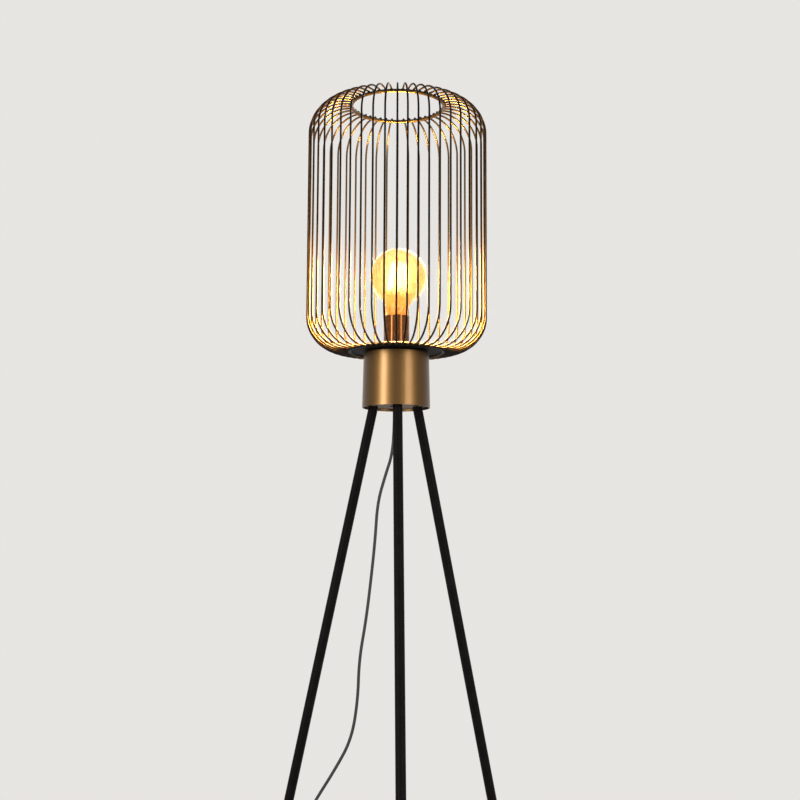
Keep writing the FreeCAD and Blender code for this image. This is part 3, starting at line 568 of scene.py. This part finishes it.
# Control points of the cord's line, from the hub to the foot switch.
CORD_DROP = (
    (-0.003, 0.009, 0.9796),
    (-0.003, 0.0095, 0.940),
    (-0.0065, 0.012, 0.900),
    (-0.017, 0.014, 0.868),
    (-0.030, 0.016, 0.822),
    (-0.0335, 0.018, 0.760),
    (-0.040, 0.020, 0.695),
    (-0.0475, 0.0225, 0.630),
    (-0.0585, 0.024, 0.565),
    (-0.060, 0.026, 0.500),
    (-0.070, 0.028, 0.437),
    (-0.097, 0.0295, 0.388),
    (-0.127, 0.031, 0.341),
    (-0.157, 0.032, 0.288),
    (-0.178, 0.033, 0.228),
    (-0.188, 0.032, 0.166),
    (-0.194, 0.026, 0.106),
    (-0.204, 0.012, 0.058),
    (-0.218, -0.012, 0.024),
    (-0.228, -0.044, 0.006),
    (-0.229, -0.080, 0.0026),
    (-0.214, -0.117, 0.0028),
    (-0.179, -0.134, 0.007),
    (-0.142, -0.134, 0.007),
)
# From the foot switch to the coil of spare cord, and from the coil to the plug.
CORD_TO_COIL = (
    (-0.068, -0.134, 0.007),
    (-0.031, -0.134, 0.007),
    (0.006, -0.1278, 0.0028),
    (0.039, -0.1278, 0.0026),
)
CORD_TO_PLUG = (
    (0.0752, -0.090, 0.009),
    (0.0752, -0.068, 0.009),
    (0.076, -0.044, 0.0038),
    (0.083, -0.014, 0.0026),
    (0.116, 0.010, 0.007),
    (0.153, 0.010, 0.007),
)
COIL_AT = (0.044, -0.095)
COIL_STEP = 0.0064          # from one turn to the next, and from one layer to the next
COIL_IN_R = 0.020
COIL_TURNS_IN = 2.0
COIL_TURNS_OUT = 1.75
COIL_CLIMB = 0.5            # turns, from one layer to the next
COIL_START = -90.0          # degrees, from +X
COIL_POINTS_PER_TURN = 24
CORD_RESOLUTION = 12
CORD_ROUNDNESS = 5


def coil_points():
    """Turns inwards on the floor, a half turn of climb, and turns outwards on top."""
    turns = COIL_TURNS_IN + COIL_CLIMB + COIL_TURNS_OUT
    steps = round(turns * COIL_POINTS_PER_TURN)
    points = []
    for i in range(steps + 1):
        turn = turns * i / steps
        inwards = max(COIL_TURNS_IN - turn, 0)
        outwards = max(turn - COIL_TURNS_IN - COIL_CLIMB, 0)
        climbed = min(max(turn - COIL_TURNS_IN, 0) / COIL_CLIMB, 1)
        radius = COIL_IN_R + COIL_STEP * (inwards + outwards)
        height = CORD_TO_COIL[-1][2] + COIL_STEP * (1 - math.cos(math.pi * climbed)) / 2
        a = math.radians(COIL_START) + 2 * math.pi * turn
        points.append((COIL_AT[0] + radius * math.cos(a), COIL_AT[1] + radius * math.sin(a), height))
    return points


def cord_curve(name, points):
    """A round cord along a smooth line with these control points."""
    data = bpy.data.curves.new(name, "CURVE")
    data.dimensions = "3D"
    data.resolution_u = CORD_RESOLUTION
    data.bevel_depth = CORD_D / 2
    data.bevel_resolution = CORD_ROUNDNESS
    data.use_fill_caps = True
    spline = data.splines.new("NURBS")
    spline.points.add(len(points) - 1)
    for point, place in zip(spline.points, points):
        point.co = (*place, 1.0)
    spline.order_u = 3
    spline.use_endpoint_u = True
    data.materials.append(cord_sheath)
    curve = bpy.data.objects.new(name, data)
    bpy.context.scene.collection.objects.link(curve)
    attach(curve, "lamp")
    return curve


cord_lead = cord_curve("cord_lead", CORD_DROP)
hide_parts("cord_drop")
cord_tail = cord_curve("cord_tail", [*CORD_TO_COIL, *coil_points(), *CORD_TO_PLUG])
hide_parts("cord_to_coil", "cord_coil", "cord_to_plug")

# ---- room and light ----------------------------------------------------------

BACKGROUND = (0.80, 0.785, 0.76)
AMBIENT = 0.8               # the world's strength as a light; where it shows it is 1
FLOOR_RADIUS = 30.0
FLOOR_DROP = 0.0004         # keeps the floor just below the feet and the cord
SHADOWS_FADE = (0.6, 1.5)   # distance from the middle over which the floor becomes plain


def make_world():
    """A plain world, as bright as the backdrop where the camera, gloss or glass shows it."""
    world = bpy.data.worlds.new("studio")
    bpy.context.scene.world = world
    world.use_nodes = True
    tree = world.node_tree
    tree.nodes.clear()
    path = tree.nodes.new("ShaderNodeLightPath")
    seen = tree.nodes.new("ShaderNodeMath")
    seen.operation = "MAXIMUM"
    tree.links.new(path.outputs["Is Camera Ray"], seen.inputs[0])
    tree.links.new(path.outputs["Is Glossy Ray"], seen.inputs[1])
    shown = tree.nodes.new("ShaderNodeMath")
    shown.operation = "MAXIMUM"
    tree.links.new(seen.outputs[0], shown.inputs[0])
    tree.links.new(path.outputs["Is Transmission Ray"], shown.inputs[1])
    strength = tree.nodes.new("ShaderNodeMapRange")
    strength.inputs["To Min"].default_value = AMBIENT
    strength.inputs["To Max"].default_value = 1.0
    tree.links.new(shown.outputs[0], strength.inputs["Value"])
    background = tree.nodes.new("ShaderNodeBackground")
    background.inputs["Color"].default_value = (*BACKGROUND, 1.0)
    tree.links.new(strength.outputs[0], background.inputs["Strength"])
    out = tree.nodes.new("ShaderNodeOutputWorld")
    tree.links.new(background.outputs[0], out.inputs["Surface"])


def make_floor():
    """A wide pale floor that keeps the shadow near the lamp and meets the backdrop's colour further out."""
    look = Look("floor_pale")
    far = look.ramp(look.vector("LENGTH", look.place), 0.0, 1.0, *SHADOWS_FADE, smooth=True)
    paper = look.mix(look.noise(3.0, 4.0), BACKGROUND, shade(BACKGROUND, 0.985))
    lit = look.shader(
        Base_Color=paper,
        Roughness=look.ramp(look.noise(25.0, 3.0), 0.75, 0.9),
        Specular_IOR_Level=0.2,
    )
    plain = look.node("ShaderNodeEmission")
    plain.inputs["Color"].default_value = (*BACKGROUND, 1.0)
    blend = look.node("ShaderNodeMixShader")
    look.link(far, blend.inputs[0])
    look.link(lit.outputs[0], blend.inputs[1])
    look.link(plain.outputs[0], blend.inputs[2])
    form = bmesh.new()
    bmesh.ops.create_circle(form, cap_ends=True, segments=96, radius=FLOOR_RADIUS)
    floor = mesh_piece("floor", form, look.finish(blend))
    floor.location.z = -FLOOR_DROP


def only_on(lamp, pieces):
    """Keeps a light to the given pieces."""
    lit = bpy.data.collections.new(f"lit_by_{lamp.name}")
    for piece in pieces:
        lit.objects.link(piece)
    lamp.light_linking.receiver_collection = lit


# Soft boxes stand at a number of degrees round the lamp, from the front towards +X, and face it.
LEFT = -43.0
RIGHT = 42.0
BEHIND = 160.0
STRIP_AWAY = 1.9
STRIP_TALL = 1.9
STRIP_WIDTH = 0.22
GLEAM_WIDTH = 0.20
TOP_AWAY = 1.6
TOP_Z = 2.5
TOP_SIZE = 1.2
AIM_Z = 1.1                 # the height that the soft boxes face, and that the strips stand at
BULB_POWER = 150.0
BULB_COLOUR = (1.0, 0.65, 0.27)
BULB_LIGHT_R = 0.044


def add_lamp(name, kind, power):
    data = bpy.data.lights.new(name, kind)
    data.energy = power
    lamp = bpy.data.objects.new(name, data)
    lamp.visible_camera = False
    bpy.context.scene.collection.objects.link(lamp)
    return lamp


def soft_box(name, azimuth, away, height, width, tall, power):
    lamp = add_lamp(name, "AREA", power)
    lamp.data.shape = "RECTANGLE"
    lamp.data.size = width
    lamp.data.size_y = tall
    a = math.radians(azimuth)
    lamp.location = (away * math.sin(a), -away * math.cos(a), height)
    lamp.rotation_mode = "QUATERNION"
    lamp.rotation_quaternion = (Vector((0, 0, AIM_Z)) - lamp.location).to_track_quat("-Z", "Y")
    return lamp


def strip(name, azimuth, width, power):
    """A tall narrow soft box at the height of the cage's foot."""
    return soft_box(name, azimuth, STRIP_AWAY, AIM_Z, width, STRIP_TALL, power)


def make_soft_boxes():
    """General light, and two strips that only put the long highlights on the turned metal."""
    strip("strip_left", LEFT, STRIP_WIDTH, 14.0)
    strip("strip_right", RIGHT, STRIP_WIDTH, 10.0)
    turned_metal = [NODES["hub_cup"], NODES["holder_sleeve"]]
    only_on(strip("gleam_left", LEFT, GLEAM_WIDTH, 78.0), turned_metal)
    only_on(strip("gleam_right", RIGHT, GLEAM_WIDTH, 54.0), turned_metal)
    soft_box("top_soft", BEHIND, TOP_AWAY, TOP_Z, TOP_SIZE, TOP_SIZE, 12.0)


def make_bulb_light():
    """The bulb's own light, which falls on the cage alone. What is inside the bulb doesn't shade it."""
    bulb = add_lamp("bulb_light", "POINT", BULB_POWER)
    bulb.data.color = BULB_COLOUR
    bulb.data.shadow_soft_size = BULB_LIGHT_R
    bulb.location = (GLOBE_X, 0.0, GLOBE_Z)
    bulb.visible_transmission = False
    only_on(bulb, [
        piece for piece in bpy.context.scene.objects
        if piece.name.startswith(("cage_", "top_ring", "bottom_ring"))
    ])
    NODES["bulb_glass"].visible_shadow = False
    for name in ("filaments", "filament_supports", "bulb_stem"):
        NODES[name].visible_shadow = False
        NODES[name].visible_diffuse = False
    NODES["filaments"].visible_glossy = False


make_world()
make_floor()
make_soft_boxes()
make_bulb_light()
